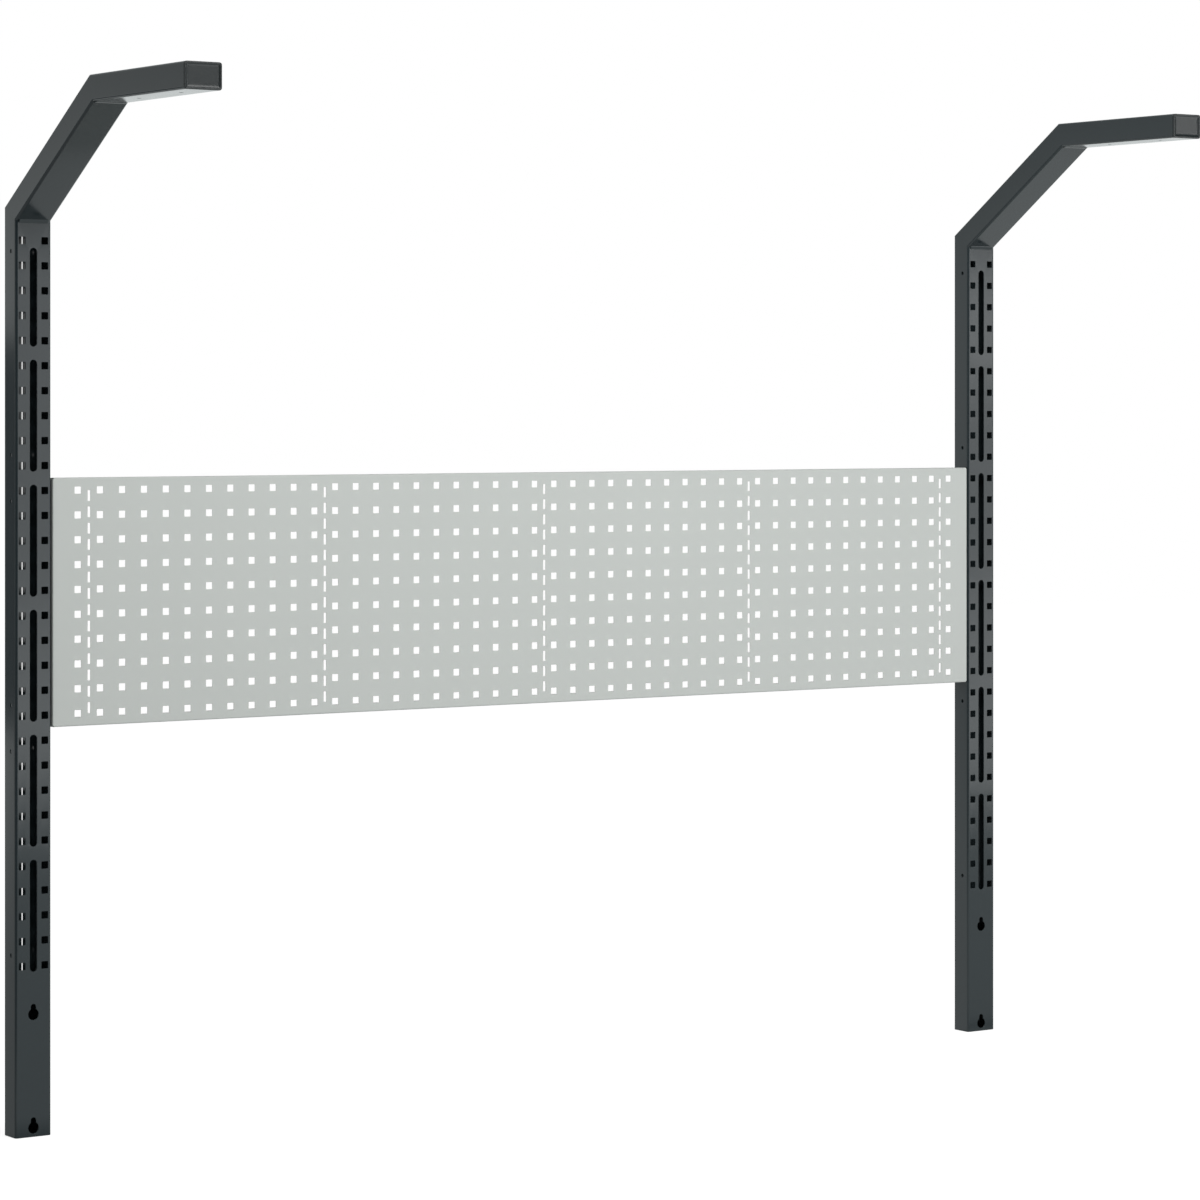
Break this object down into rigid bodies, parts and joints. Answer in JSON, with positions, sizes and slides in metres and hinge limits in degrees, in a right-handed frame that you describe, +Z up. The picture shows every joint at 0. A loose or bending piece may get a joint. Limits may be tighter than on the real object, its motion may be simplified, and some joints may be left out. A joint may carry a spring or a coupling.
{
  "type": "workbench superstructure",
  "caption": "Workbench superstructure: cranked perforated steel uprights with forward lamp arms, joined by a wide perforated tool panel with square hook holes.",
  "frame": {"origin": "middle of the footprint, level with the lower ends of the uprights", "axes": "+X along the panel, to the right seen from the front; -Y is the front, where the arms reach; +Z up"},
  "size_m": [1.92, 0.577, 1.5969],
  "materials": {
    "upright_paint": "satin anthracite powder coat",
    "panel_paint": "satin light grey powder coat",
    "cap_plastic": "fine-grained moulded plastic",
    "fixing_zinc": "bright zinc plate"
  },
  "bodies": {
    "root": {"upright_left": "upright_paint", "slope_tube_left": "upright_paint", "lamp_arm_left": "upright_paint", "end_cap_left": "cap_plastic", "foot_plug_left": "cap_plastic", "lower_weld_left": "upright_paint", "upper_weld_left": "upright_paint", "panel_screw_upper_left": "fixing_zinc", "panel_washer_upper_left": "fixing_zinc", "panel_spacer_upper_left": "fixing_zinc", "panel_screw_lower_left": "fixing_zinc", "panel_washer_lower_left": "fixing_zinc", "panel_spacer_lower_left": "fixing_zinc", "upright_right": "upright_paint", "slope_tube_right": "upright_paint", "lamp_arm_right": "upright_paint", "end_cap_right": "cap_plastic", "foot_plug_right": "cap_plastic", "lower_weld_right": "upright_paint", "upper_weld_right": "upright_paint", "panel_screw_upper_right": "fixing_zinc", "panel_washer_upper_right": "fixing_zinc", "panel_spacer_upper_right": "fixing_zinc", "panel_screw_lower_right": "fixing_zinc", "panel_washer_lower_right": "fixing_zinc", "panel_spacer_lower_right": "fixing_zinc", "perforated_panel": "panel_paint"}
  },
  "joints": []
}
